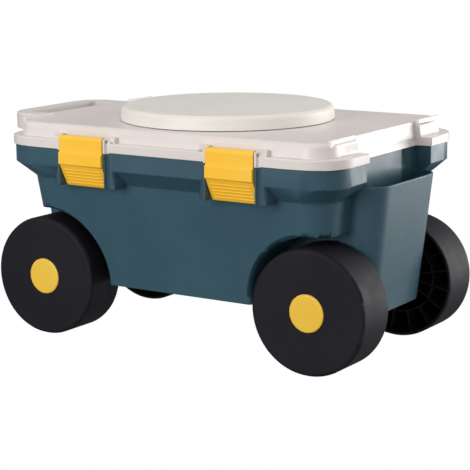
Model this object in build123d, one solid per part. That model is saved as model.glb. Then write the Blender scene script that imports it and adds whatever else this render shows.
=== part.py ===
from build123d import *
import math
import os

# Rolling tool box with a swivel seat on its hinged lid, four wheels and two over-centre latches.
# Millimetres. +X runs to the end without the handle, -Y is the side with the latches, +Z is up.
# Each piece is drawn about the point on the ground midway between the axles, and shift_x then
# moves every piece, so that the written origin is the bottom centre of the whole object.

# ---- overall
box_length = 507.0            # over the band round the tub's rim
box_width = 344.0
floor_z = 74.5                # underside of the tub's floor
rim_z = 265.8                 # top of the tub
wall = 3.0

# ---- wheels and axles
wheel_radius = 80.0
wheel_width = 63.0
wheel_proud = 0.5             # wheel's face beyond the tub's straight side
axle_inset = 48.5             # axle from the end of the band
axle_radius = 5.0
run_gap = 0.08                # radial clearance of a part that turns on a pin or rod
rim_wall = 4.0
spoke_count = 16
spoke_wall = 2.6
inner_ring_radius = 48.0
hub_radius = 22.5
nut_floor = 14.0              # depth of the hub's recess for the push nut
cap_radius = 24.0
cap_recess = 2.8
cap_spigot_radius = 18.0
cap_proud = 1.6
face_ring_radius = 51.5
face_ring_height = 0.6
face_wall = 4.0
axle_rib_pitch = 30.0
axle_rib_count = 4

# ---- tub
band_height = 29.3
shoulder_height = 21.0        # the slope under the band
shoulder_run = (22.0, 23.0)   # how far the slope leads in, along X and Y
side_draft = (15.5, 20.0)     # how far the straight sides lead in on their way to the floor
foot_corner = 31.0
belly_corner = 35.0
band_corner = 47.5
well_gap = 12.0               # wheel to wheel arch
well_side_gap = 8.5           # wheel to the arch's inner wall
well_flare = 7.0              # the arch's rounded outer edge
flute_radius = 16.0
flute_depth = 6.0
flute_inset = 27.5            # flute from the side of the recess
flute_foot_z = 120.0

# ---- end pockets, moulded with the tub
pocket_reach = 38.5           # pocket's mouth beyond the end wall
pocket_draft = 19.5
pocket_side_draft = 7.0
pocket_rim_drop = 36.8        # pocket's mouth below the tub's rim
pocket_foot_drop = 12.5       # pocket's foot below the tub's floor
pocket_rim_corner = 33.0
pocket_foot_corner = 29.0
pocket_root = 4.0             # upright foot of the end wall, so that a pocket's floor lies clear

# ---- lid
lid_rest_gap = 0.2            # rim to the plate that rests on it
lid_gap = 0.4                 # skirt to band
skirt_wall = 2.1
skirt_height = 6.0
flange_thick = 6.0
flange_ledge = (13.5, 8.5)    # band to the lid's raised wall, along X and Y
lid_rise = 18.5
lid_draft = 2.0
lid_corner = 33.0
lid_edge = 8.0
lip_drop = 12.0
lip_wall = 2.5
lip_gap = 1.7
ridge_size = (4.0, 59.0, 3.0)
ridge_inset = (6.0, 48.0)

# ---- handle, moulded with the lid
handle_reach = 58.5           # beyond the band
handle_half = 95.0
handle_corner = 40.0
handle_depth = 22.0
handle_bar = 25.0
slot_length = 37.0
slot_margin = 22.0
slot_corner = 7.0

# ---- seat and its pivot
seat_x = -4.5
seat_radius = 142.5
seat_height = 19.5
seat_gap = 1.0
seat_edge = 7.0
seat_flat_radius = 60.0       # level middle of the seat's top
glide_radii = (60.0, 76.0)
glide_height = 2.8
pivot_radius = 6.0
screw_radius = 4.0
lid_boss_radius = 18.0
lid_boss_height = 16.5
seat_hub_radius = 14.0
washer_radius = 14.0
washer_height = 1.8

# ---- latches
latch_inset = 139.5           # latch from the end of the band
latch_half = 34.5
latch_wall = 3.0
latch_barrel = 5.0
latch_pin_out = 3.0           # pin beyond the band
latch_pin_up = 8.2            # pin above the tub's rim
latch_step = 2.4              # raised band across the latch
latch_grip_drop = 27.2
latch_grip_run = 14.5         # how far the grip leads in
latch_side_gap = 1.0
pin_radius = 2.0
cheek_wall = 2.7
cheek_reach_out = 6.5         # cheeks beyond the band
cheek_flare = 11.0
cheek_gap = 1.4               # cheek to the ear above it
catch_reach = 2.8
catch_height = 4.0
catch_drop = 19.8             # catch below the rim
catch_half = 29.0

# ---- lid hinges
hinge_inset = 139.5
hinge_drop = 4.8              # pin below the rim
knuckle_radius = 4.6
lid_knuckle_half = 13.5
tub_knuckle = (14.0, 30.0)

# ---- places that follow
band_half = (box_length / 2, box_width / 2)
belly_half = (band_half[0] - shoulder_run[0], band_half[1] - shoulder_run[1])
foot_half = (belly_half[0] - side_draft[0], belly_half[1] - side_draft[1])
band_z = rim_z - band_height
belly_z = band_z - shoulder_height
recess_x = belly_half[0]
wheel_face_y = belly_half[1] + wheel_proud
wheel_inner_y = wheel_face_y - wheel_width
recess_half = wheel_inner_y
axle_x = band_half[0] - axle_inset
well_radius = wheel_radius + well_gap
well_inner_y = wheel_inner_y - well_side_gap
flute_y = recess_half - flute_inset
pocket_rim_z = rim_z - pocket_rim_drop
pocket_foot_z = floor_z - pocket_foot_drop
pocket_rim_x = recess_x + pocket_reach
pocket_foot_x = pocket_rim_x - pocket_draft
pocket_rim_half = recess_half
pocket_foot_half = pocket_rim_half - pocket_side_draft
plate_seat_z = rim_z + lid_rest_gap
lid_foot_z = plate_seat_z - skirt_height
flange_z = plate_seat_z + flange_thick
lid_top_z = flange_z + lid_rise
lid_half = (band_half[0] - flange_ledge[0], band_half[1] - flange_ledge[1])
ridge_x = lid_half[0] - ridge_inset[0]
ridge_y = lid_half[1] - ridge_inset[1]
handle_x = band_half[0] + handle_reach
slot_x = (handle_x - handle_bar - slot_length, handle_x - handle_bar)
slot_half = handle_half - slot_margin
seat_foot_z = lid_top_z + seat_gap
seat_top_z = seat_foot_z + seat_height
lid_boss_z = lid_top_z - lid_boss_height
latch_x = band_half[0] - latch_inset
latch_pin = (-band_half[1] - latch_pin_out, rim_z + latch_pin_up)
catch_z = rim_z - catch_drop
cheek_reach = -band_half[1] - cheek_reach_out
cheek_top_z = lid_foot_z - cheek_gap
cheek_foot_z = belly_z - 3
ear_foot_z = lid_foot_z - 1
hinge_x = band_half[0] - hinge_inset
hinge_reach = latch_barrel + latch_step - latch_pin[0]
hinge_pin = (hinge_reach - knuckle_radius, rim_z - hinge_drop)
shift_x = (handle_x - axle_x - wheel_radius) / 2
beyond = box_length + box_width
ends = (1, -1)


def slab(half_x, half_y, corner, z):
    """A rounded rectangle lying at height z."""
    return Pos(0, 0, z) * RectangleRounded(2 * half_x, 2 * half_y, corner)


def taper(foot, top):
    """A solid between two rounded rectangles."""
    return loft([foot.face(), top.face()], ruled=True)


def span(x0, x1, y0, y1, z0, z1):
    """A box given by its faces."""
    box = Box(x1 - x0, y1 - y0, z1 - z0, align=(Align.MIN, Align.MIN, Align.MIN))
    return Pos(x0, y0, z0) * box


def both_ends(solid):
    return solid + mirror(solid, Plane.YZ)


def both_sides(solid):
    return solid + mirror(solid, Plane.XZ)


def along_y(sketch_points, y0, y1):
    """A prism whose outline is given in X and Z."""
    face = make_face(Polyline(*[(x, 0, z) for x, z in sketch_points], close=True))
    return Pos(0, y0, 0) * extrude(face, amount=y1 - y0, dir=(0, 1, 0))


def along_x(sketch_points, x0, x1):
    """A prism whose outline is given in Y and Z."""
    face = make_face(Polyline(*[(0, y, z) for y, z in sketch_points], close=True))
    return Pos(x0, 0, 0) * extrude(face, amount=x1 - x0, dir=(1, 0, 0))


def rod_x(radius, x0, x1, y, z):
    """A round bar along X."""
    return Pos((x0 + x1) / 2, y, z) * Rot(0, 90, 0) * Cylinder(radius, x1 - x0)


def rod_y(radius, y0, y1, x, z):
    """A round bar along Y."""
    return Pos(x, (y0 + y1) / 2, z) * Rot(90, 0, 0) * Cylinder(radius, y1 - y0)


def turned_y(profile):
    """A ring turned about the Y axis, from points of radius and Y."""
    face = make_face(Polyline(*[(r, y, 0) for r, y in profile], close=True))
    return revolve(face, Axis.Y)


def rim_outline(grow):
    """The band's outline with its recessed ends, grown or shrunk all round."""
    plate = RectangleRounded(2 * (band_half[0] + grow), 2 * (band_half[1] + grow), band_corner + grow)
    depth = 60
    notch = Rectangle(depth, 2 * (recess_half - grow))
    at = recess_x + grow + depth / 2
    return plate - Pos(at, 0) * notch - Pos(-at, 0) * notch


def rim_prism(grow, z0, z1):
    return Pos(0, 0, z0) * extrude(rim_outline(grow), amount=z1 - z0)


def end_wall_x(z):
    """X of the tub's end wall, whose slope is carried on below the floor."""
    slope = (belly_half[0] - foot_half[0]) / (belly_z - floor_z)
    return foot_half[0] + slope * (z - floor_z)


# ---------------------------------------------------------------- tub

def tub_form(grow, base_z):
    """The tub's outside, or its inside when grow is minus the wall."""
    foot = slab(end_wall_x(base_z) + grow, foot_half[1] + grow, foot_corner + grow, base_z)
    belly = slab(belly_half[0] + grow, belly_half[1] + grow, belly_corner + grow, belly_z)
    band = slab(band_half[0] + grow, band_half[1] + grow, band_corner + grow, band_z)
    form = taper(foot, belly) + taper(belly, band)
    form -= both_ends(span(recess_x + grow, band_half[0] + wall, grow - recess_half,
                           recess_half - grow, belly_z, band_z))
    return form + rim_prism(grow, band_z, rim_z)


def wheel_well(grow):
    """One wheel's arch, open below and through the end, as a solid to cut away."""
    low = -20
    far_x = axle_x + 2 * wheel_radius
    y0 = well_inner_y - grow
    y1 = band_half[1] + 20
    radius = well_radius + grow
    arch = rod_y(radius, y0, y1, axle_x, wheel_radius)
    arch += span(axle_x, far_x, y0, y1, low, wheel_radius + radius)
    arch += span(axle_x - radius, far_x, y0, y1, low, wheel_radius)
    return arch + well_lip(grow)


def well_lip(grow):
    """The arch's flared mouth, square to the tub's leaning side: a cone, and a flat that carries it on."""
    lean = math.atan2(side_draft[1], belly_z - floor_z)
    side_y = foot_half[1] + (wheel_radius - floor_z) * math.tan(lean)
    small = well_radius + grow - 1.2
    reach = 3 * well_flare
    lip = Cone(small, small + reach, reach, align=(Align.CENTER, Align.CENTER, Align.MIN))
    lip += along_x([(-small, 0), (-small - reach, reach), (0, reach), (0, 0)], 0, 2 * wheel_radius)
    lip = Pos(0, 0, -well_flare - (math.sqrt(2) - 1) * grow) * lip
    return Pos(axle_x, side_y, wheel_radius) * Rot(-90 - math.degrees(lean), 0, 0) * lip


def flutes(grow):
    """Two upright grooves in the end wall, for tool handles."""
    centre_x = recess_x + flute_radius - flute_depth
    one = Pos(centre_x, flute_y, flute_foot_z) * Cylinder(
        flute_radius + grow, rim_z - flute_foot_z + 10, align=(Align.CENTER, Align.CENTER, Align.MIN))
    return both_sides(one)


def pocket_form(grow, base_z, top_z):
    """A pocket's outside, or its inside when grow is minus the wall."""
    back_x = end_wall_x(pocket_foot_z) - wall
    behind = 60

    def section(z):
        part = (z - pocket_foot_z) / (pocket_rim_z - pocket_foot_z)
        front = pocket_foot_x + part * (pocket_rim_x - pocket_foot_x) + grow
        half = pocket_foot_half + part * (pocket_rim_half - pocket_foot_half) + grow
        corner = pocket_foot_corner + part * (pocket_rim_corner - pocket_foot_corner) + grow
        middle = (back_x - behind + front) / 2
        return Pos(middle, 0, z) * RectangleRounded(front - back_x + behind, 2 * half, corner)

    block = taper(section(base_z), section(top_z))
    return block - span(back_x - 2 * behind, back_x, -box_width, box_width, 0, 2 * rim_z)


def end_wall_zone():
    """All that lies behind the outer face of the end wall."""
    low, high = pocket_foot_z - 5, belly_z
    root_z = pocket_foot_z + wall + pocket_root
    inner = recess_x - 80
    outline = [(inner, low), (end_wall_x(root_z), low), (end_wall_x(root_z), root_z),
               (end_wall_x(high), high), (recess_x, rim_z + 5), (inner, rim_z + 5)]
    return along_y(outline, -recess_half - 10, recess_half + 10)


def fin_plan():
    """Plan of a cheek or ear beside a latch, from the latch's middle: flat inside, flared outside."""
    inside = latch_half + latch_side_gap
    outside = inside + cheek_wall
    root_y = -band_half[1]
    flare_points = []
    for step in range(7):
        turn = math.radians(15 * step)
        flare_points.append((outside + cheek_flare * (1 - math.cos(turn)),
                             cheek_reach + (root_y - cheek_reach + 1) * math.sin(turn)))
    back_y = root_y + 32
    outline = [(inside, back_y), (inside, cheek_reach)] + flare_points + [(outside + cheek_flare, back_y)]
    return make_face(Polyline(*outline, close=True))


def fins(z0, z1):
    """The pair of fins beside each latch, between two heights."""
    one = Pos(0, 0, z0) * extrude(fin_plan(), amount=z1 - z0)
    pair = one + mirror(one, Plane.YZ)
    return Pos(latch_x, 0, 0) * pair + Pos(-latch_x, 0, 0) * pair


def catches():
    """The rib on the band that each latch snaps under."""
    root_y = -band_half[1]
    outline = [(root_y + 1, catch_z), (root_y - catch_reach, catch_z),
               (root_y - catch_reach, catch_z + 1.2), (root_y + 1, catch_z + catch_height)]
    return both_ends(along_x(outline, latch_x - catch_half, latch_x + catch_half))


def tub_knuckles():
    """The tub's half of each lid hinge."""
    y, z = hinge_pin
    arm_top = lid_foot_z - 0.8
    outline = [(band_half[1] - 1, z - 15), (band_half[1] - 1, arm_top), (y - 2, arm_top),
               (y + 3, z - 4), (y, z - 8)]
    one = along_x(outline, tub_knuckle[0], tub_knuckle[1])
    one += rod_x(knuckle_radius, tub_knuckle[0], tub_knuckle[1], y, z)
    pair = Pos(hinge_x, 0, 0) * both_ends(one)
    return both_ends(pair) - rod_x(pin_radius, -beyond, beyond, y, z)


def axle_channel():
    """The open channel under the floor that an axle lies in, crossed by ribs that hold the axle."""
    half = 8.0
    y1 = well_inner_y - wall
    channel = span(axle_x - half, axle_x + half, -y1, y1, floor_z - 5, wheel_radius + half)
    for index in range(axle_rib_count):
        y = axle_rib_pitch * (index - (axle_rib_count - 1) / 2)
        channel -= span(axle_x - half, axle_x + half, y - wall / 2, y + wall / 2, 0, rim_z)
    return both_ends(channel)


def axle_tunnel():
    """The hump inside the tub over an axle's channel."""
    half = 8.0 + wall
    far = well_inner_y + 20
    return both_ends(span(axle_x - half, axle_x + half + 10, -far, far, 0, wheel_radius + half))


def tub():
    outside = tub_form(0, floor_z)
    wells = both_ends(both_sides(wheel_well(0)))
    shell = outside - wells
    bosses = rod_y(12, well_inner_y - 2, wheel_inner_y - 2, axle_x, wheel_radius)
    shell += both_ends(both_sides(bosses))
    shell += both_ends(pocket_form(0, pocket_foot_z, pocket_rim_z))
    fin_cut = tub_form(-1, floor_z)
    shell += fins(cheek_foot_z, cheek_top_z) - fin_cut
    shell += catches() + tub_knuckles()

    inside = tub_form(-wall, floor_z + wall)
    inside += rim_prism(-wall, rim_z - 1, rim_z + 5)
    inside -= both_ends(both_sides(wheel_well(wall)))
    inside -= both_ends(flutes(wall)) + axle_tunnel()
    shell -= inside

    cavity = pocket_form(-wall, pocket_foot_z + wall, pocket_rim_z) - end_wall_zone()
    shell -= both_ends(cavity)
    wall_side = span(0, recess_x + 1, -recess_half, recess_half, 0, rim_z + 5)
    shell -= both_ends(flutes(0) & wall_side)
    shell -= axle_channel()
    for end in ends:
        shell -= rod_y(axle_radius + 0.05, -wheel_inner_y, wheel_inner_y, end * axle_x, wheel_radius)
    return shell


# ---------------------------------------------------------------- wheels

def wheel_section():
    """Half the wheel's section, as points of radius and depth behind the face."""
    depth = wheel_width
    bore = axle_radius + run_gap
    seat_cut = cap_radius + 0.3
    ring_in = inner_ring_radius - spoke_wall / 2
    ring_out = inner_ring_radius + spoke_wall / 2
    hub = [(bore, nut_floor), (cap_spigot_radius, nut_floor), (cap_spigot_radius, cap_recess),
           (seat_cut, cap_recess), (seat_cut, 0)]
    bead = [(face_ring_radius - 1, 0), (face_ring_radius - 0.4, -face_ring_height),
            (face_ring_radius + 0.4, -face_ring_height), (face_ring_radius + 1, 0)]
    tread = [(wheel_radius - 5, 0), (wheel_radius - 1.4, 1.6), (wheel_radius, 5.5),
             (wheel_radius, depth - 3), (wheel_radius - 1, depth), (wheel_radius - rim_wall, depth),
             (wheel_radius - rim_wall - 1, face_wall)]
    ring = [(ring_out, face_wall), (ring_out, depth - 12), (ring_in, depth - 12), (ring_in, face_wall)]
    back = [(hub_radius + 4, face_wall), (hub_radius, nut_floor + 5), (15, depth - 2), (15, depth),
            (bore, depth)]
    return hub + bead + tread + ring + back


def wheel_at_origin():
    """A hollow-backed wheel about the Y axis, outer face towards -Y, with spokes inside."""
    face = -wheel_face_y
    wheel = turned_y([(r, face + depth) for r, depth in wheel_section()])
    foot = face + face_wall - 0.6
    top = face + wheel_width - 14
    spoke_plan = [(hub_radius + 2.5, foot), (wheel_radius - rim_wall / 2, foot),
                  (wheel_radius - rim_wall / 2, top), (11, top)]
    outline = make_face(Polyline(*[(r, y, -spoke_wall / 2) for r, y in spoke_plan], close=True))
    spoke = extrude(outline, amount=spoke_wall, dir=(0, 0, 1))
    for index in range(spoke_count):
        wheel += Rot(0, 360 * (index + 0.5) / spoke_count, 0) * spoke
    return wheel


def cap_at_origin():
    """The domed hub cap, whose spigot grips the hub."""
    face = -wheel_face_y
    seat = face + cap_recess - 0.05
    disc = turned_y([(0, seat), (cap_radius, seat), (cap_radius, face - 0.2),
                     (cap_radius - 1.6, face - cap_proud + 0.3), (cap_radius - 6, face - cap_proud),
                     (0, face - cap_proud - 0.4)])
    spigot = turned_y([(cap_spigot_radius - 2.2, seat - 1), (cap_spigot_radius, seat - 1),
                       (cap_spigot_radius, seat + 8), (cap_spigot_radius - 2.2, seat + 8)])
    return disc + spigot


def push_nut_at_origin():
    """A spring-steel cap nut pushed on the axle's end."""
    y0 = -wheel_face_y + nut_floor - 0.3
    return turned_y([(axle_radius, y0), (12, y0), (12, y0 - 0.9), (8, y0 - 1.2), (8, y0 - 3.2),
                     (axle_radius, y0 - 3.2)])


def thrust_washer_at_origin():
    """The washer between the tub's boss and the wheel's hub."""
    y0 = -wheel_inner_y + 0.25
    return turned_y([(axle_radius + 0.2, y0), (11, y0), (11, y0 + 1.6), (axle_radius + 0.2, y0 + 1.6)])


def at_wheel(solid, end, side):
    """Puts a piece drawn for a -Y wheel at one of the four wheel places."""
    turned = solid if side < 0 else Rot(0, 0, 180) * solid
    return Pos(end * axle_x, 0, wheel_radius) * turned


def axle(end):
    reach = wheel_face_y - 9.0
    return chamfer(rod_y(axle_radius, -reach, reach, end * axle_x, wheel_radius).edges(), 0.8)


# ---------------------------------------------------------------- lid

def upper_wall(grow, z0, z1):
    """The lid's raised part; its walls lean in a little as they rise."""
    def section(z):
        lean = lid_draft * (z - flange_z) / (lid_top_z - flange_z)
        return slab(lid_half[0] - lean + grow, lid_half[1] - lean + grow, lid_corner - lean + grow, z)
    return taper(section(z0), section(z1))


def lid_recess(grow, z0, z1):
    """The step in the lid's end, above the pocket."""
    foot_x = recess_x + lid_gap + skirt_wall
    lean = 2 * lid_draft
    half = recess_half - lid_gap - skirt_wall + grow
    far = handle_x + 30
    outline = [(foot_x - grow, z0), (far, z0), (far, z1), (foot_x - grow - lean, z1)]
    return along_y(outline, -half, half)


def handle():
    """The carrying loop at the lid's end, ribbed hollow below."""
    z0 = lid_top_z - handle_depth
    inner_x = recess_x - wall
    centre = -(inner_x + handle_x) / 2
    length = handle_x - inner_x
    loop = Pos(centre, 0) * RectangleRounded(length, 2 * handle_half, handle_corner)
    loop += Pos(-(inner_x + 20), 0) * Rectangle(40, 2 * handle_half)
    solid = Pos(0, 0, z0) * extrude(loop, amount=handle_depth)
    solid = fillet(solid.edges().group_by(Axis.Z)[-1], 2.4)
    slot_mid = -(slot_x[0] + slot_x[1]) / 2
    slot = Pos(slot_mid, 0) * RectangleRounded(slot_x[1] - slot_x[0], 2 * slot_half, slot_corner)
    solid -= Pos(0, 0, z0 - 1) * extrude(slot, amount=handle_depth + 2)
    core = Pos(centre, 0) * RectangleRounded(length - 2 * wall, 2 * (handle_half - wall),
                                             handle_corner - wall)
    keep = Pos(slot_mid, 0) * RectangleRounded(slot_x[1] - slot_x[0] + 2 * wall,
                                               2 * (slot_half + wall), slot_corner + wall)
    core = core - keep - Rectangle(2 * lid_half[0] + 1, box_width)
    return solid - Pos(0, 0, z0) * extrude(core, amount=handle_depth - wall)


def lid_shell():
    top = upper_wall(0, flange_z - 2, lid_top_z)
    top = fillet(top.edges().group_by(Axis.Z)[-1], lid_edge)
    front = lid_recess(0, lid_foot_z - 1, lid_top_z + 1)
    block = top - front - mirror(lid_recess(0, lid_foot_z - 1, lid_top_z + 1), Plane.YZ)
    flange = rim_prism(lid_gap + skirt_wall, lid_foot_z, flange_z)
    outer_top = flange.edges().group_by(Axis.Z)[-1]
    flange = fillet(outer_top, 1.6)
    flange -= both_ends(lid_recess(0, lid_foot_z - 1, flange_z + 1))
    shell = block + flange + handle()
    room = upper_wall(-wall, plate_seat_z, lid_top_z - wall - 0.5)
    room -= both_ends(lid_recess(wall, plate_seat_z - 1, lid_top_z))
    shelf_x = recess_x - wall - lip_gap - lip_wall - 0.5
    room -= both_ends(span(shelf_x, 260, -recess_half, recess_half, plate_seat_z, plate_seat_z + wall))
    shell -= room
    shell -= rim_prism(lid_gap, lid_foot_z - 1, plate_seat_z)
    lip = rim_prism(-wall - lip_gap, plate_seat_z - lip_drop, plate_seat_z + 1)
    lip -= rim_prism(-wall - lip_gap - lip_wall, plate_seat_z - lip_drop - 1, plate_seat_z + 2)
    lip -= both_ends(flutes(wall + lip_gap))
    return shell + lip


def latch_notches():
    """Gaps in the flange that the latches hang in."""
    half = latch_half + latch_side_gap
    inner_y = -(band_half[1] - wall - lip_gap) - 0.2
    one = span(latch_x - half, latch_x + half, -box_width, inner_y, lid_foot_z - 2, lid_top_z - 4)
    return both_ends(one)


def knuckle_notches():
    """Gaps in the skirt round the hinge knuckles."""
    half = tub_knuckle[1] + 0.6
    one = span(hinge_x - half, hinge_x + half, band_half[1], box_width, lid_foot_z - 1, plate_seat_z)
    return both_ends(one)


def ears():
    """The lid's ears, which carry the latch pins."""
    y, z = latch_pin
    blocks = fins(ear_foot_z, z + latch_barrel + 1)
    lean = [(cheek_reach - 6, z - 2), (cheek_reach + 1.5, z + 3.5), (-lid_half[1], z + 7),
            (-lid_half[1], z + 40), (cheek_reach - 6, z + 40)]
    blocks -= along_x(lean, -beyond, beyond)
    inner = rim_prism(lid_gap, ear_foot_z - 1, plate_seat_z)
    inner += upper_wall(-1, plate_seat_z - 1, lid_top_z - lid_edge)
    return blocks - inner - rod_x(pin_radius, -beyond, beyond, y, z)


def lid_knuckles():
    """The lid's half of each hinge."""
    y, z = hinge_pin
    arm_y = band_half[1] + lid_gap + skirt_wall - 1
    outline = [(arm_y, z + 1), (arm_y, flange_z - 1.8), (arm_y + 2, flange_z - 1.8), (y + 4, z + 3), (y, z)]
    one = along_x(outline, -lid_knuckle_half, lid_knuckle_half)
    one += rod_x(knuckle_radius, -lid_knuckle_half, lid_knuckle_half, y, z)
    one -= rod_x(pin_radius + run_gap, -lid_knuckle_half - 1, lid_knuckle_half + 1, y, z)
    return Pos(hinge_x, 0, 0) * one + Pos(-hinge_x, 0, 0) * one


def ridges():
    """Four low bars across the lid's corners."""
    length_x, length_y, height = ridge_size
    bar = span(ridge_x - length_x / 2, ridge_x + length_x / 2, ridge_y - length_y / 2,
               ridge_y + length_y / 2, lid_top_z - 6, lid_top_z + height)
    return both_ends(both_sides(bar))


def seat_boss():
    """The thick place in the lid under the seat, with ribs to it."""
    height = lid_top_z - 1 - lid_boss_z
    boss = Pos(seat_x, 0, lid_boss_z + height / 2) * Cylinder(lid_boss_radius, height)
    rib_z = lid_top_z - wall - 8
    reach = seat_radius - 20
    ribs = span(seat_x - reach, seat_x + reach, -wall / 2, wall / 2, rib_z, lid_top_z - 1)
    ribs += span(seat_x - wall / 2, seat_x + wall / 2, -reach, reach, rib_z, lid_top_z - 1)
    return boss + ribs


def lid():
    shell = lid_shell() - latch_notches() - knuckle_notches()
    shell += ears() + lid_knuckles() + ridges() + seat_boss()
    bore = Pos(seat_x, 0, lid_top_z) * Cylinder(pivot_radius + run_gap, 60)
    return shell - bore


# ---------------------------------------------------------------- seat

def turned_z(profile, z=0.0):
    """A ring turned about the seat's axis, from points of radius and height."""
    face = make_face(Polyline(*[(r, 0, h) for r, h in profile], close=True))
    return Pos(seat_x, 0, z) * revolve(face, Axis.Z)


def edge_arc(radius, foot, top, count=6):
    """Points round the seat's top edge."""
    points = []
    for step in range(count + 1):
        turn = math.radians(90 * step / count)
        points.append((radius - seat_edge * (1 - math.cos(turn)), top - seat_edge * (1 - math.sin(turn))))
    return points


def seat():
    skin = 3.2
    dome = 1.2
    shoulder = seat_top_z - dome
    outside = [(0, seat_foot_z), (seat_radius, seat_foot_z)]
    outside += edge_arc(seat_radius - 0.8, seat_foot_z, shoulder) + [(seat_flat_radius, seat_top_z), (0, seat_top_z)]
    under = shoulder - skin
    inside = [(0, seat_foot_z - 1), (seat_radius - skin, seat_foot_z - 1), (seat_radius - skin, under - 4),
              (seat_radius - skin - 5, under), (0, under + 0.6)]
    shell = turned_z(outside) - turned_z(inside)
    ring_z = lid_top_z + glide_height + 0.2
    for radius in (glide_radii[0] + 2, glide_radii[1] - 4, 110):
        foot = ring_z if radius < 100 else ring_z + 3
        shell += turned_z([(radius, foot), (radius + 2.2, foot), (radius + 2.2, under + 1),
                           (radius, under + 1)])
    hub = turned_z([(screw_radius, ring_z), (seat_hub_radius, ring_z), (seat_hub_radius, under + 1),
                    (screw_radius, under + 1)])
    rib = Pos(seat_x, 0, 0) * span(seat_hub_radius - 1, seat_radius - skin + 0.5, -1.1, 1.1,
                                   ring_z + 3, under + 1)
    shell += hub
    for index in range(12):
        shell += Pos(seat_x, 0, 0) * Rot(0, 0, 30 * index) * Pos(-seat_x, 0, 0) * rib
    return shell


def seat_glide_ring():
    inner, outer = glide_radii
    return turned_z([(inner, lid_top_z), (outer, lid_top_z), (outer, lid_top_z + glide_height),
                     (inner, lid_top_z + glide_height)])


def seat_pivot_screw():
    """A shoulder screw, driven up through the lid into the seat's hub."""
    washer_z = lid_boss_z - 0.1 - washer_height
    hub_z = lid_top_z + glide_height + 0.2
    return turned_z([(0, washer_z - 5.1), (9, washer_z - 5.1), (10, washer_z - 4.2), (10, washer_z - 0.1),
                     (pivot_radius, washer_z - 0.1), (pivot_radius, hub_z), (screw_radius, hub_z),
                     (screw_radius, hub_z + 11), (0, hub_z + 11)])


def seat_pivot_washer():
    top = lid_boss_z
    return turned_z([(pivot_radius + 0.3, top - washer_height), (washer_radius, top - washer_height),
                     (washer_radius, top), (pivot_radius + 0.3, top)])


# ---------------------------------------------------------------- latches

def latch_front_line():
    """Side view of the latch's front, from the barrel over the raised band to the grip's foot."""
    y, z = latch_pin
    front = y - latch_barrel
    break_z = catch_z - 5.4
    return [(front, z), (front, z - 16.5), (front - latch_step, z - 17.4),
            (front - latch_step, break_z + 1), (front, break_z),
            (front + latch_grip_run, break_z - latch_grip_drop)]


def latch_skin_outline():
    """Side view of the latch's front skin."""
    line = latch_front_line()
    foot_y, foot_z = line[-1]
    front = line[0][0]
    inner = front + latch_wall
    knee_z = line[1][1]
    return line + [(foot_y + 2.1, foot_z - 2), (foot_y + 4.1, foot_z - 0.6), (foot_y + 3.5, foot_z + 2.2),
                   (inner + 0.6, catch_z - 3), (inner, knee_z + 1), (inner, line[0][1])]


def latch_side_outline():
    """Side view of the latch's side walls."""
    y, z = latch_pin
    line = latch_front_line()
    foot_y, foot_z = line[-1]
    back = -band_half[1] - 0.7
    return line + [(foot_y + 5, foot_z + 0.4), (back - 0.6, band_z + 1), (back, band_z + 5.5),
                   (back, plate_seat_z), (y + 3, z - 3)]


def latch(end):
    y, z = latch_pin
    x0, x1 = end * latch_x - latch_half, end * latch_x + latch_half
    body = along_x(latch_skin_outline(), x0, x1)
    body += rod_x(latch_barrel, x0, x1, y, z)
    side = 2.4
    body += along_x(latch_side_outline(), x0, x0 + side)
    body += along_x(latch_side_outline(), x1 - side, x1)
    nose_y = -band_half[1] - catch_reach + 1.3
    front = y - latch_barrel
    nose = [(front + 1, catch_z - 5), (nose_y - 0.6, catch_z - 4.4), (nose_y, catch_z - 3),
            (nose_y, catch_z - 0.4), (front + 1, catch_z - 0.4)]
    body += along_x(nose, end * latch_x - catch_half + 1, end * latch_x + catch_half - 1)
    break_z = latch_front_line()[4][1]
    for index in range(5):
        drop = 6.5 + 4.4 * index
        grip_y = front + drop * latch_grip_run / latch_grip_drop
        body += rod_x(0.9, x0 + 5, x1 - 5, grip_y, break_z - drop)
    return body - rod_x(pin_radius + run_gap, x0 - 1, x1 + 1, y, z)


def latch_hinge_pin(end):
    y, z = latch_pin
    half = latch_half + latch_side_gap + cheek_wall - 0.2
    return rod_x(pin_radius, end * latch_x - half, end * latch_x + half, y, z)


def lid_hinge_pin(end):
    y, z = hinge_pin
    half = tub_knuckle[1] - 0.4
    return rod_x(pin_radius, end * hinge_x - half, end * hinge_x + half, y, z)


# ---------------------------------------------------------------- pieces

def pieces():
    end_names = {1: "front", -1: "rear"}
    side_names = {1: "left", -1: "right"}
    found = {
        "tub": tub(),
        "lid": lid(),
        "seat": seat(),
        "seat_glide_ring": seat_glide_ring(),
        "seat_pivot_screw": seat_pivot_screw(),
        "seat_pivot_washer": seat_pivot_washer(),
    }
    wheel = wheel_at_origin()
    nuts = []
    washers = []
    for end, end_name in end_names.items():
        found[f"axle_{end_name}"] = axle(end)
        found[f"latch_{end_name}"] = latch(end)
        found[f"latch_pin_{end_name}"] = latch_hinge_pin(end)
        found[f"lid_hinge_pin_{end_name}"] = lid_hinge_pin(end)
        for side, side_name in side_names.items():
            place = f"{end_name}_{side_name}"
            found[f"wheel_{place}"] = at_wheel(wheel, end, side)
            found[f"hub_cap_{place}"] = at_wheel(cap_at_origin(), end, side)
            nuts.append(at_wheel(push_nut_at_origin(), end, side))
            washers.append(at_wheel(thrust_washer_at_origin(), end, side))
    found["push_nuts"] = Compound(nuts)
    found["thrust_washers"] = Compound(washers)
    return found


os.makedirs("parts", exist_ok=True)
for name, solid in pieces().items():
    export_step(Pos(shift_x, 0, 0) * solid, f"parts/{name}.step")
    print(name, len(solid.solids()), round(solid.volume))
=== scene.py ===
import math
import bmesh
import bpy
from mathutils import Matrix, Vector


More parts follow.
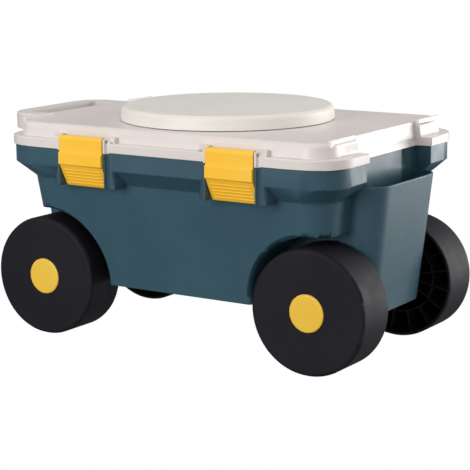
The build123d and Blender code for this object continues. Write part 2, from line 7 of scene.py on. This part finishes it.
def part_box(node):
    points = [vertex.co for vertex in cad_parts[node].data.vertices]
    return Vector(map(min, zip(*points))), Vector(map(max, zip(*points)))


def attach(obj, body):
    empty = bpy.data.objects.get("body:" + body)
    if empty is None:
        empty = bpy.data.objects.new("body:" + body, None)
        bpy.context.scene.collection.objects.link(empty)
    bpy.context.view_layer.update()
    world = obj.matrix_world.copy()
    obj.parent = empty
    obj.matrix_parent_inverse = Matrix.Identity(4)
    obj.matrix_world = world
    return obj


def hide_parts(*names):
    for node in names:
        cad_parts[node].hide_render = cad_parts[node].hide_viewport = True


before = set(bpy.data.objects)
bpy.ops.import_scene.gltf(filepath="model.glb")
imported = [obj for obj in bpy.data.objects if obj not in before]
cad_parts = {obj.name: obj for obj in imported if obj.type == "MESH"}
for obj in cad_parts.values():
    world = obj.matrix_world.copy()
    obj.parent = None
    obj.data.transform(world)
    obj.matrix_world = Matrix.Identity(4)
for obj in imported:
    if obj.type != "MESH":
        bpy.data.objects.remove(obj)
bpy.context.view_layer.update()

# ------------------------------------------------------------------ tub
# The box itself: one polypropylene moulding with a pocket at each end, cheeks beside the
# latches and an arch over each wheel. The mould's edges are all slightly broken.


def linear(code):
    """An sRGB hex colour as the linear RGBA that the shaders take."""
    channels = [int(code[i:i + 2], 16) / 255 for i in (1, 3, 5)]
    lit = [c / 12.92 if c <= 0.04045 else ((c + 0.055) / 1.055) ** 2.4 for c in channels]
    return (*lit, 1.0)


def add_node(tree, kind, settings=(), **inputs):
    """Adds a node, sets its properties, and sets or links its inputs."""
    made = tree.nodes.new(kind)
    for name, value in dict(settings).items():
        setattr(made, name, value)
    for name, value in inputs.items():
        socket = made.inputs[int(name[1:])] if name[1:].isdigit() else made.inputs[name.replace("_", " ")]
        if isinstance(value, bpy.types.NodeSocket):
            tree.links.new(value, socket)
        else:
            socket.default_value = value
    return made


def new_material(name):
    """An empty node material, and its Object coordinates."""
    material = bpy.data.materials.new(name)
    material.use_nodes = True
    material.node_tree.nodes.clear()
    coordinates = add_node(material.node_tree, "ShaderNodeTexCoord")
    return material, material.node_tree, coordinates.outputs["Object"]


GRAIN_STRENGTH = 0.12
GRAIN_DEPTH = 0.0002


def moulded(name, colour, pale, roughness, grain_mm, mottle, scuff, ior=1.49, gloss=0.5, worn_where=None):
    """Injection-moulded plastic: spark-eroded grain, faint flow mottling and rubbed patches.

    worn_where names a point attribute that limits the rubbing to part of the piece.
    """
    material, tree, place = new_material(name)
    flow = add_node(tree, "ShaderNodeTexNoise", Vector=place, Scale=9.0, Detail=4.0, Roughness=0.55)
    flow_share = add_node(tree, "ShaderNodeMapRange", Value=flow.outputs["Fac"], From_Min=0.35,
                          From_Max=0.7, To_Min=0.0, To_Max=mottle)
    base = add_node(tree, "ShaderNodeMix", {"data_type": "RGBA"}, Factor=flow_share.outputs["Result"],
                    _6=linear(colour), _7=linear(pale))
    rub = add_node(tree, "ShaderNodeTexNoise", Vector=place, Scale=38.0, Detail=8.0, Roughness=0.7)
    rub_share = add_node(tree, "ShaderNodeMapRange", Value=rub.outputs["Fac"], From_Min=0.6,
                         From_Max=0.78, To_Min=0.0, To_Max=scuff)
    share = rub_share.outputs["Result"]
    if worn_where:
        area = add_node(tree, "ShaderNodeAttribute", {"attribute_name": worn_where})
        limited = add_node(tree, "ShaderNodeMath", {"operation": "MULTIPLY"}, _0=share,
                           _1=area.outputs["Fac"])
        share = limited.outputs["Value"]
    worn = add_node(tree, "ShaderNodeMix", {"data_type": "RGBA"}, Factor=share,
                    _6=base.outputs[2], _7=linear(pale))
    sheen = add_node(tree, "ShaderNodeMapRange", Value=rub.outputs["Fac"], From_Min=0.3, From_Max=0.75,
                     To_Min=roughness - 0.05, To_Max=roughness + 0.08)
    grain = add_node(tree, "ShaderNodeTexNoise", Vector=place, Scale=1000 / grain_mm, Detail=2.0)
    bump = add_node(tree, "ShaderNodeBump", Height=grain.outputs["Fac"],
                    Strength=GRAIN_STRENGTH, Distance=GRAIN_DEPTH)
    shader = add_node(tree, "ShaderNodeBsdfPrincipled", Base_Color=worn.outputs[2],
                      Roughness=sheen.outputs["Result"], IOR=ior,
                      Specular_IOR_Level=gloss, Normal=bump.outputs["Normal"])
    add_node(tree, "ShaderNodeOutputMaterial", Surface=shader.outputs["BSDF"])
    return material


ZINC_CLOUD = "#8C9094"


def steel(name, colour, roughness):
    """Drawn steel with a thin zinc coat, cloudy and lightly streaked."""
    material, tree, place = new_material(name)
    cloud = add_node(tree, "ShaderNodeTexNoise", Vector=place, Scale=160.0, Detail=6.0, Roughness=0.6)
    sheen = add_node(tree, "ShaderNodeMapRange", Value=cloud.outputs["Fac"], To_Min=roughness - 0.1,
                     To_Max=roughness + 0.15)
    tone = add_node(tree, "ShaderNodeMix", {"data_type": "RGBA"}, Factor=cloud.outputs["Fac"],
                    _6=linear(colour), _7=linear(ZINC_CLOUD))
    shader = add_node(tree, "ShaderNodeBsdfPrincipled", Base_Color=tone.outputs[2], Metallic=1.0,
                      Roughness=sheen.outputs["Result"])
    add_node(tree, "ShaderNodeOutputMaterial", Surface=shader.outputs["BSDF"])
    return material


MERGE = 0.00002                  # corners this near are one corner
FLAT = math.radians(0.6)         # faces that meet flatter than this are one face
SHARP = math.radians(32)         # an edge sharper than this is rounded
SMOOTH = math.radians(30)        # faces that meet flatter than this are shaded as one
ROOM = 2.3                       # how many roundings wide a face has to be to take one
ROUNDING_STEPS = 2
TRIED_ALONG = (0.05, 0.5, 0.95)  # where along an edge its face is measured


def reach_across(loop):
    """How far a face runs, square to one of its edges, before its outline comes back."""
    start, end = loop.vert.co, loop.link_loop_next.vert.co
    along = (end - start).normalized()
    inwards = loop.face.normal.cross(along)
    reach = math.inf
    for share in TRIED_ALONG:
        point = start.lerp(end, share)
        for other in loop.face.loops:
            if other is loop:
                continue
            first = other.vert.co - point
            last = other.link_loop_next.vert.co - point
            before, after = first.dot(along), last.dot(along)
            if before * after > 0 or before == after:
                continue
            met = first.lerp(last, before / (before - after)).dot(inwards)
            if met > MERGE:
                reach = min(reach, met)
    return reach


def mark_edges(mesh, width):
    """Weights the sharp edges that have room for a rounding of this width on both their faces."""
    work = bmesh.new()
    work.from_mesh(mesh)
    weight = work.edges.layers.float.new("bevel_weight_edge")
    room = ROOM * width
    for edge in work.edges:
        if len(edge.link_faces) != 2 or edge.calc_face_angle(0.0) < SHARP:
            continue
        narrowest = min(reach_across(loop) for loop in edge.link_loops)
        edge[weight] = 1.0 if edge.calc_length() > room and narrowest > room else 0.0
    work.to_mesh(mesh)
    work.free()


def softened(name, body, finish, width):
    """A copy of a CAD piece with its sharp edges rounded as a mould or a tumbler leaves them."""
    bpy.ops.object.select_all(action="DESELECT")
    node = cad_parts[name]
    piece = bpy.data.objects.new(f"{name}_finished", node.data.copy())
    bpy.context.scene.collection.objects.link(piece)
    piece.select_set(True)
    bpy.context.view_layer.objects.active = piece
    bpy.ops.object.mode_set(mode="EDIT")
    bpy.ops.mesh.select_all(action="SELECT")
    bpy.ops.mesh.remove_doubles(threshold=MERGE)
    bpy.ops.mesh.dissolve_limited(angle_limit=FLAT, delimit=set())
    bpy.ops.object.mode_set(mode="OBJECT")
    mark_edges(piece.data, width)
    edge = piece.modifiers.new("edge", "BEVEL")
    edge.width = width
    edge.segments = ROUNDING_STEPS
    edge.limit_method = "WEIGHT"
    edge.use_clamp_overlap = False
    edge.miter_outer = "MITER_ARC"
    bpy.ops.object.modifier_apply(modifier=edge.name)
    bpy.ops.object.shade_smooth_by_angle(angle=SMOOTH)
    even = piece.modifiers.new("even", "WEIGHTED_NORMAL")
    even.keep_sharp = True
    bpy.ops.object.modifier_apply(modifier=even.name)
    piece.data.materials.clear()
    piece.data.materials.append(finish)
    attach(piece, body)
    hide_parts(name)
    return piece


teal_polypropylene = moulded("teal_moulded_polypropylene", "#2C4E5C", "#3B5F6D",
                             roughness=0.42, grain_mm=0.6, mottle=0.35, scuff=0.12)
softened("tub", "chassis", teal_polypropylene, width=0.0011)

# ------------------------------------------------------------------ lid
# The hinged lid with its flange, ears, ridges and carrying handle, moulded in one in an
# off-white that is faintly warm and marked by handling.
white_polypropylene = moulded("white_moulded_polypropylene", "#DDD4CF", "#E6DEDA",
                              roughness=0.4, grain_mm=0.6, mottle=0.6, scuff=0.1)
softened("lid", "lid", white_polypropylene, width=0.0009)

# ------------------------------------------------------------------ seat and its pivot
# A shallow disc in a slightly greener white than the lid, on a slippery ring, held by one
# shoulder screw and a washer from inside the lid.
seat_polypropylene = moulded("seat_moulded_polypropylene", "#E4E0D7", "#EDE9E1",
                             roughness=0.45, grain_mm=0.8, mottle=0.6, scuff=0.1)
glide_acetal = moulded("white_moulded_acetal", "#E9E7E2", "#F2F0EC",
                       roughness=0.3, grain_mm=0.5, mottle=0.3, scuff=0.1, ior=1.48)
zinc_steel = steel("zinc_plated_steel", "#B4B7BA", roughness=0.34)
softened("seat", "seat", seat_polypropylene, width=0.0009)
softened("seat_glide_ring", "lid", glide_acetal, width=0.0004)
softened("seat_pivot_screw", "seat", zinc_steel, width=0.0003)
softened("seat_pivot_washer", "lid", zinc_steel, width=0.0002)

# ------------------------------------------------------------------ latches and hinge pins
# Two yellow over-centre latches, each on a steel pin through the lid's ears, and the steel
# pins of the lid's two hinges. The latches are the glossiest plastic on the cart.
yellow_polypropylene = moulded("yellow_moulded_polypropylene", "#FFC32A", "#FFD258",
                               roughness=0.33, grain_mm=0.5, mottle=0.35, scuff=0.1)
for end in ("front", "rear"):
    softened(f"latch_{end}", f"latch_{end}", yellow_polypropylene, width=0.0007)
    softened(f"latch_pin_{end}", "lid", zinc_steel, width=0.0002)
    softened(f"lid_hinge_pin_{end}", "chassis", zinc_steel, width=0.0002)

# ------------------------------------------------------------------ wheels and axles
# Four hollow-backed charcoal polyethylene wheels with yellow caps, on two steel axles held by
# push nuts. The face stays clean and dark, and the tread is paler where it has rubbed.
WHEEL_RADIUS = 0.080
TREAD_EDGE = 0.003
charcoal_polyethylene = moulded("charcoal_moulded_polyethylene", "#16151B", "#463F4B",
                                roughness=0.62, grain_mm=0.7, mottle=0.1, scuff=0.6,
                                ior=1.51, gloss=0.16, worn_where="tread")
cap_polyethylene = moulded("yellow_moulded_polyethylene", "#EFC034", "#F6D163",
                           roughness=0.36, grain_mm=0.5, mottle=0.4, scuff=0.1)


def mark_tread(piece, axle_x):
    """A point attribute that is 1 on the wheel's outermost surface and 0 elsewhere."""
    tread = piece.data.attributes.new("tread", "FLOAT", "POINT")
    for vertex, value in zip(piece.data.vertices, tread.data):
        reach = math.hypot(vertex.co.x - axle_x, vertex.co.z - WHEEL_RADIUS)
        value.value = 1.0 if reach > WHEEL_RADIUS - TREAD_EDGE else 0.0


for end in ("front", "rear"):
    softened(f"axle_{end}", "chassis", zinc_steel, width=0.0003)
    for side in ("left", "right"):
        body = f"wheel_{end}_{side}"
        low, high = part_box(body)
        wheel = softened(body, body, charcoal_polyethylene, width=0.0009)
        mark_tread(wheel, (low[0] + high[0]) / 2)
        softened(f"hub_cap_{end}_{side}", body, cap_polyethylene, width=0.0005)
softened("push_nuts", "chassis", zinc_steel, width=0.0002)
softened("thrust_washers", "chassis", zinc_steel, width=0.0001)

# ------------------------------------------------------------------ setting
# A white void with soft light that is strongest from above and from the front end, a broad
# overhead panel, one panel towards the front end and one towards the latches.
LIGHT_FROM = (0.55, -0.2, 0.81)
FILL_WEAKEST = 0.12
FILL_STRONGEST = 0.6
world = bpy.data.worlds.new("studio")
bpy.context.scene.world = world
world.use_nodes = True
sky = world.node_tree
sky.nodes.clear()
way = add_node(sky, "ShaderNodeTexCoord").outputs["Generated"]
towards = add_node(sky, "ShaderNodeVectorMath", {"operation": "DOT_PRODUCT"}, _0=way, _1=LIGHT_FROM)
fill = add_node(sky, "ShaderNodeMapRange", Value=towards.outputs["Value"], From_Min=-1.0, From_Max=1.0,
                To_Min=FILL_WEAKEST, To_Max=FILL_STRONGEST)
seen = add_node(sky, "ShaderNodeLightPath").outputs["Is Camera Ray"]
strength = add_node(sky, "ShaderNodeMix", {"data_type": "FLOAT"}, Factor=seen, _2=fill.outputs["Result"],
                    _3=1.0)
backdrop = add_node(sky, "ShaderNodeBackground", Color=(1.0, 1.0, 1.0, 1.0), Strength=strength.outputs[0])
add_node(sky, "ShaderNodeOutputWorld", Surface=backdrop.outputs["Background"])


def panel_light(name, place, aim, width, watts):
    """A square soft box, turned towards a point."""
    lamp = bpy.data.lights.new(name, "AREA")
    lamp.shape = "SQUARE"
    lamp.size = width
    lamp.energy = watts
    stand = bpy.data.objects.new(name, lamp)
    bpy.context.scene.collection.objects.link(stand)
    stand.location = place
    stand.rotation_euler = (Vector(aim) - Vector(place)).to_track_quat("-Z", "Y").to_euler()


panel_light("overhead", place=(0.1, 0.2, 2.6), aim=(0, 0, 0.2), width=2.4, watts=15)
panel_light("end_side", place=(1.6, 2.1, 0.45), aim=(0.2, 0, 0.15), width=1.4, watts=58)
panel_light("latch_side", place=(-0.5, -3.0, 1.0), aim=(0, 0, 0.2), width=1.6, watts=55)

CAMERA_PLACE = Vector((1.1995, -1.8127, 0.5603))
CAMERA_AIM = Vector((0.0187, 0.0, 0.132))
CAMERA_ROLL = math.radians(-0.49)
LENS_MM = 125.07
SENSOR_MM = 36.0
lens = bpy.data.cameras.new("camera")
lens.lens = LENS_MM
lens.sensor_width = SENSOR_MM
camera = bpy.data.objects.new("camera", lens)
bpy.context.scene.collection.objects.link(camera)
camera.location = CAMERA_PLACE
turn = (CAMERA_AIM - CAMERA_PLACE).to_track_quat("-Z", "Y").to_matrix()
camera.rotation_euler = (turn @ Matrix.Rotation(CAMERA_ROLL, 3, "Z")).to_euler()
bpy.context.scene.camera = camera
bpy.context.scene.view_settings.view_transform = "Standard"
